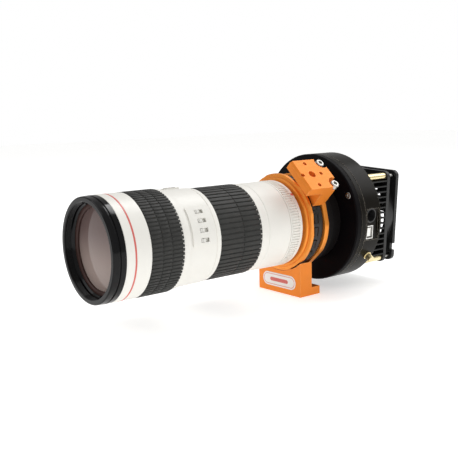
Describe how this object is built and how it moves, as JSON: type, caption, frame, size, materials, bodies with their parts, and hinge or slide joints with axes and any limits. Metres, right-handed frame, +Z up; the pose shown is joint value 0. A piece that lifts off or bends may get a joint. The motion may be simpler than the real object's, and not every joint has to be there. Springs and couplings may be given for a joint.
{
  "type": "telephoto guide camera",
  "caption": "White telephoto lens in a footed orange rotating adapter with an accessory bracket, and a round cooled camera with heat sink and fan behind it.",
  "frame": {"origin": "mouth of the tripod thread, at the middle of the foot's underside", "axes": "+Z up; the optical axis runs along Y at 60.4 mm above the foot's underside, and the lens looks along -Y; the bracket leans to +X"},
  "size_m": [0.1086, 0.2828, 0.1147],
  "materials": {
    "white_enamel": "satin",
    "black_enamel": "gloss",
    "inner_black": "matte",
    "optical_glass": "polished",
    "clear_window": "polished",
    "red_enamel": "satin",
    "grip_rubber": "matte",
    "switch_grey": "satin",
    "steel_parts": "satin",
    "chrome_mount": "polished",
    "orange_anodised": "satin",
    "black_anodised": "satin",
    "black_plate": "satin",
    "bright_screws": "polished",
    "badge_enamel": "gloss",
    "socket_black": "satin",
    "socket_silver": "polished",
    "brass_fittings": "polished",
    "copper_block": "satin",
    "sensor_package": "satin",
    "circuit_board": "satin",
    "heat_sink_black": "satin",
    "fan_plastic": "satin"
  },
  "bodies": {
    "root": {"front_bezel": "black_enamel", "front_retaining_ring": "inner_black", "front_element": "optical_glass", "front_barrel": "white_enamel", "accent_ring": "red_enamel", "focus_motor": "steel_parts", "mid_barrel": "white_enamel", "scale_window": "clear_window", "switch_panel": "white_enamel", "rear_barrel": "white_enamel", "aperture_unit": "inner_black", "relay_cell": "inner_black", "rear_element": "optical_glass", "mount_knurl_ring": "white_enamel", "index_dot": "red_enamel", "lens_mount_flange": "chrome_mount", "adapter_front_ring": "orange_anodised", "rotator_clip": "black_anodised", "foot": "orange_anodised", "foot_badge": "badge_enamel", "foot_screws": "bright_screws"},
    "focus_ring": {"focus_sleeve": "inner_black", "focus_grip": "grip_rubber"},
    "distance_drum": {"distance_drum": "inner_black"},
    "focus_group": {"focus_cell": "inner_black", "focus_glass": "optical_glass"},
    "zoom_ring": {"zoom_sleeve": "inner_black", "zoom_grip": "grip_rubber", "zoom_cam_tube": "inner_black"},
    "variator": {"variator_cell": "inner_black", "variator_glass": "optical_glass"},
    "compensator": {"compensator_cell": "inner_black", "compensator_glass": "optical_glass"},
    "switch_1": {"switch_1": "switch_grey"},
    "switch_2": {"switch_2": "switch_grey"},
    "switch_3": {"switch_3": "switch_grey"},
    "switch_4": {"switch_4": "switch_grey"},
    "release_button": {"release_button": "bright_screws"},
    "lock_ring": {"lock_ring": "black_anodised"},
    "camera": {"adapter_rear_ring": "orange_anodised", "accessory_bracket": "orange_anodised", "bracket_screws": "bright_screws", "nose_spacer": "black_anodised", "camera_front_plate": "black_plate", "front_plate_screws": "bright_screws", "camera_body_ring": "black_anodised", "camera_shell": "black_anodised", "round_socket": "socket_black", "usb_socket": "socket_silver", "purge_plug": "brass_fittings", "sensor_window": "optical_glass", "image_sensor": "sensor_package", "cold_finger": "copper_block", "cooler_module": "sensor_package", "main_board": "circuit_board", "heat_sink": "heat_sink_black", "fan_standoffs": "brass_fittings", "fan_frame": "fan_plastic", "fan_screws": "bright_screws"},
    "fan_rotor": {"fan_rotor": "fan_plastic"}
  },
  "joints": [
    {"name": "focus_turn", "type": "hinge", "parent": "root", "child": "focus_ring", "pos_m": [0, 0, 0.0604], "axis": [0, 1, 0], "range_deg": [-75, 75]},
    {"name": "distance_scale_turn", "type": "hinge", "parent": "root", "child": "distance_drum", "pos_m": [0, 0, 0.0604], "axis": [0, 1, 0], "range_deg": [-75, 75]},
    {"name": "focus_group_slide", "type": "slide", "parent": "root", "child": "focus_group", "axis": [0, 1, 0], "range_m": [-0.005, 0.005]},
    {"name": "zoom_turn", "type": "hinge", "parent": "root", "child": "zoom_ring", "pos_m": [0, 0, 0.0604], "axis": [0, 1, 0], "range_deg": [-33, 33]},
    {"name": "variator_slide", "type": "slide", "parent": "root", "child": "variator", "axis": [0, 1, 0], "range_m": [-0.005, 0.005]},
    {"name": "compensator_slide", "type": "slide", "parent": "root", "child": "compensator", "axis": [0, 1, 0], "range_m": [-0.004, 0.004]},
    {"name": "switch_1_slide", "type": "slide", "parent": "root", "child": "switch_1", "axis": [0, 1, 0], "range_m": [0, 0.003]},
    {"name": "switch_2_slide", "type": "slide", "parent": "root", "child": "switch_2", "axis": [0, 1, 0], "range_m": [0, 0.003]},
    {"name": "switch_3_slide", "type": "slide", "parent": "root", "child": "switch_3", "axis": [0, 1, 0], "range_m": [0, 0.003]},
    {"name": "switch_4_slide", "type": "slide", "parent": "root", "child": "switch_4", "axis": [0, 1, 0], "range_m": [0, 0.003]},
    {"name": "release_press", "type": "slide", "parent": "root", "child": "release_button", "axis": [1, 0, 0], "range_m": [0, 0.0015], "stiffness_N_per_m": 600, "springref_m": -0.001},
    {"name": "lock_ring_turn", "type": "hinge", "parent": "root", "child": "lock_ring", "pos_m": [0, 0, 0.0604], "axis": [0, 1, 0], "range_deg": [-20, 20]},
    {"name": "camera_rotation", "type": "hinge", "parent": "root", "child": "camera", "pos_m": [0, 0, 0.0604], "axis": [0, 1, 0], "range_deg": [-90, 60]},
    {"name": "fan_spin", "type": "hinge", "parent": "camera", "child": "fan_rotor", "pos_m": [0, 0.085, 0.0604], "axis": [0, 1, 0], "continuous": true}
  ],
  "couplings": [
    {"joint": "distance_scale_turn", "follows": "focus_turn", "ratio": 1},
    {"joint": "focus_group_slide", "follows": "focus_turn", "m_per_rad": 0.0034377},
    {"joint": "variator_slide", "follows": "zoom_turn", "m_per_rad": 0.0078131},
    {"joint": "compensator_slide", "follows": "zoom_turn", "m_per_rad": -0.0060768}
  ]
}
